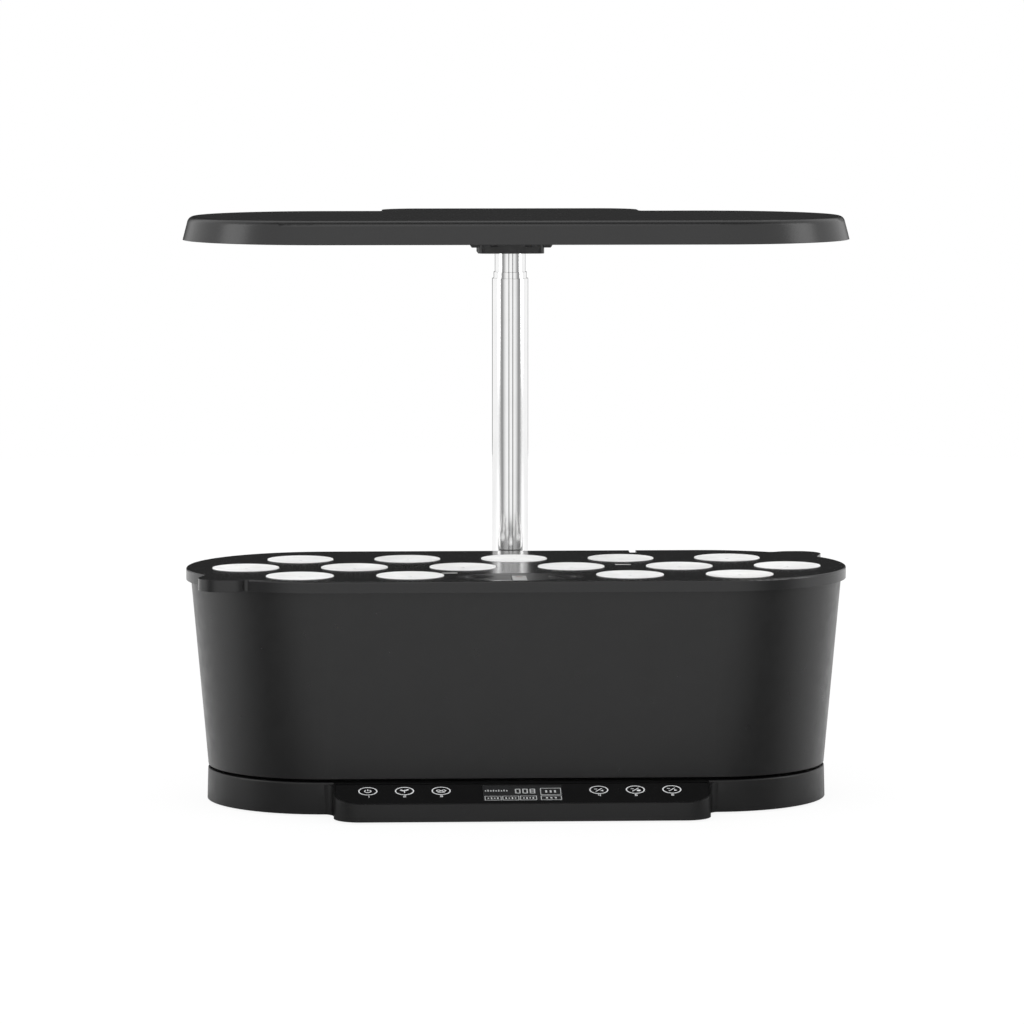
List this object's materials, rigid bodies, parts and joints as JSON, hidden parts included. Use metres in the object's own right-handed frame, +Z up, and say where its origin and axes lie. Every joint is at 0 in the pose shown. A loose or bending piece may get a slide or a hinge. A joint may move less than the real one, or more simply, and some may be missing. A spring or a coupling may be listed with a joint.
{
  "type": "countertop hydroponic garden",
  "caption": "Countertop hydroponic garden: water tank on a powered base with a touch panel, lift-out seed pods in a gloss deck, and an LED grow lamp on a telescopic mast.",
  "frame": {"origin": "on the surface the garden stands on, under the centre of the tank", "axes": "+Z up, +X along the tank to the user's right, -Y towards the user"},
  "size_m": [0.4336, 0.252, 0.3813],
  "materials": {
    "casing": "fine satin moulding grain",
    "underside": "satin",
    "rubber_feet": "matte",
    "screw_steel": "satin",
    "overlay": "high gloss",
    "display": "dark grey glass-like face",
    "circuit_board": "solder mask",
    "socket_black": "satin",
    "mast_chrome": "polished",
    "guide_white": "waxy",
    "bracket_black": "fine satin",
    "lamp_black": "fine satin moulding grain",
    "diffuser_white": "frosted",
    "led_panel": "white solder mask",
    "led_yellow": "phosphor",
    "tank_black": "fine satin moulding grain",
    "pump_black": "satin",
    "filter_foam": "open foam",
    "shaft_ceramic": "ground",
    "deck_gloss": "high gloss",
    "float_white": "satin",
    "level_white": "satin",
    "pin_red": "satin",
    "pod_white": "satin; the lid, with the basket black and the sponge brown"
  },
  "bodies": {
    "base": {"base_shell": "casing", "base_plate": "underside", "feet": "rubber_feet", "base_screws": "screw_steel", "panel_lens": "overlay", "lcd_module": "display", "key_board": "circuit_board", "main_board": "circuit_board", "dc_inlet": "socket_black", "pump_socket": "socket_black", "mast_socket": "bracket_black", "mast_screws": "screw_steel", "outer_tube": "mast_chrome"},
    "mid_mast": {"middle_tube": "mast_chrome", "middle_guide": "guide_white"},
    "lamp": {"inner_tube": "mast_chrome", "inner_guide": "guide_white", "lamp_bracket": "bracket_black", "bracket_screws": "screw_steel", "lamp_housing": "lamp_black", "lamp_cover": "lamp_black", "diffuser": "diffuser_white", "led_board": "led_panel", "leds": "led_yellow", "driver_board": "circuit_board", "lamp_screws": "screw_steel"},
    "tank_body": {"tank": "tank_black", "pump_body": "pump_black", "pump_cover": "pump_black", "impeller_shaft": "shaft_ceramic", "pump_filter": "filter_foam", "pump_cups": "rubber_feet", "pump_gland": "pump_black"},
    "rotor": {"impeller": "guide_white"},
    "deck_body": {"deck": "deck_gloss", "slot_liners": "level_white", "float_guide": "pump_black"},
    "fill_lid": {"fill_cover": "deck_gloss", "level_plate": "level_white"},
    "float": {"level_float": "float_white", "float_pin": "pin_red"},
    "pod_1_body": {"pod_1": "pod_white"},
    "pod_2_body": {"pod_2": "pod_white"},
    "pod_3_body": {"pod_3": "pod_white"},
    "pod_4_body": {"pod_4": "pod_white"},
    "pod_5_body": {"pod_5": "pod_white"},
    "pod_6_body": {"pod_6": "pod_white"},
    "pod_7_body": {"pod_7": "pod_white"},
    "pod_8_body": {"pod_8": "pod_white"},
    "pod_9_body": {"pod_9": "pod_white"},
    "pod_10_body": {"pod_10": "pod_white"},
    "pod_11_body": {"pod_11": "pod_white"},
    "pod_12_body": {"pod_12": "pod_white"},
    "pod_13_body": {"pod_13": "pod_white"},
    "pod_14_body": {"pod_14": "pod_white"},
    "pod_15_body": {"pod_15": "pod_white"}
  },
  "joints": [
    {"name": "mast_lower", "type": "slide", "parent": "base", "child": "mid_mast", "axis": [0, 0, 1], "range_m": [0, 0.15]},
    {"name": "mast_upper", "type": "slide", "parent": "mid_mast", "child": "lamp", "axis": [0, 0, 1], "range_m": [0, 0.15]},
    {"name": "tank_draw", "type": "slide", "parent": "base", "child": "tank_body", "axis": [0, -1, 0], "range_m": [0, 0.3]},
    {"name": "deck_lift", "type": "slide", "parent": "tank_body", "child": "deck_body", "axis": [0, 0, 1], "range_m": [0, 0.1]},
    {"name": "impeller_spin", "type": "hinge", "parent": "tank_body", "child": "rotor", "pos_m": [0.048, 0.024, 0.0446], "axis": [1, 0, 0], "continuous": true},
    {"name": "fill_cover_lift", "type": "slide", "parent": "deck_body", "child": "fill_lid", "axis": [0, 0, 1], "range_m": [0, 0.08]},
    {"name": "float_drop", "type": "slide", "parent": "deck_body", "child": "float", "axis": [0, 0, -1], "range_m": [0, 0.055]},
    {"name": "pod_1_lift", "type": "slide", "parent": "deck_body", "child": "pod_1_body", "axis": [0, 0, 1], "range_m": [0, 0.1]},
    {"name": "pod_2_lift", "type": "slide", "parent": "deck_body", "child": "pod_2_body", "axis": [0, 0, 1], "range_m": [0, 0.1]},
    {"name": "pod_3_lift", "type": "slide", "parent": "deck_body", "child": "pod_3_body", "axis": [0, 0, 1], "range_m": [0, 0.1]},
    {"name": "pod_4_lift", "type": "slide", "parent": "deck_body", "child": "pod_4_body", "axis": [0, 0, 1], "range_m": [0, 0.1]},
    {"name": "pod_5_lift", "type": "slide", "parent": "deck_body", "child": "pod_5_body", "axis": [0, 0, 1], "range_m": [0, 0.1]},
    {"name": "pod_6_lift", "type": "slide", "parent": "deck_body", "child": "pod_6_body", "axis": [0, 0, 1], "range_m": [0, 0.1]},
    {"name": "pod_7_lift", "type": "slide", "parent": "deck_body", "child": "pod_7_body", "axis": [0, 0, 1], "range_m": [0, 0.1]},
    {"name": "pod_8_lift", "type": "slide", "parent": "deck_body", "child": "pod_8_body", "axis": [0, 0, 1], "range_m": [0, 0.1]},
    {"name": "pod_9_lift", "type": "slide", "parent": "deck_body", "child": "pod_9_body", "axis": [0, 0, 1], "range_m": [0, 0.1]},
    {"name": "pod_10_lift", "type": "slide", "parent": "deck_body", "child": "pod_10_body", "axis": [0, 0, 1], "range_m": [0, 0.1]},
    {"name": "pod_11_lift", "type": "slide", "parent": "deck_body", "child": "pod_11_body", "axis": [0, 0, 1], "range_m": [0, 0.1]},
    {"name": "pod_12_lift", "type": "slide", "parent": "deck_body", "child": "pod_12_body", "axis": [0, 0, 1], "range_m": [0, 0.1]},
    {"name": "pod_13_lift", "type": "slide", "parent": "deck_body", "child": "pod_13_body", "axis": [0, 0, 1], "range_m": [0, 0.1]},
    {"name": "pod_14_lift", "type": "slide", "parent": "deck_body", "child": "pod_14_body", "axis": [0, 0, 1], "range_m": [0, 0.1]},
    {"name": "pod_15_lift", "type": "slide", "parent": "deck_body", "child": "pod_15_body", "axis": [0, 0, 1], "range_m": [0, 0.1]}
  ]
}
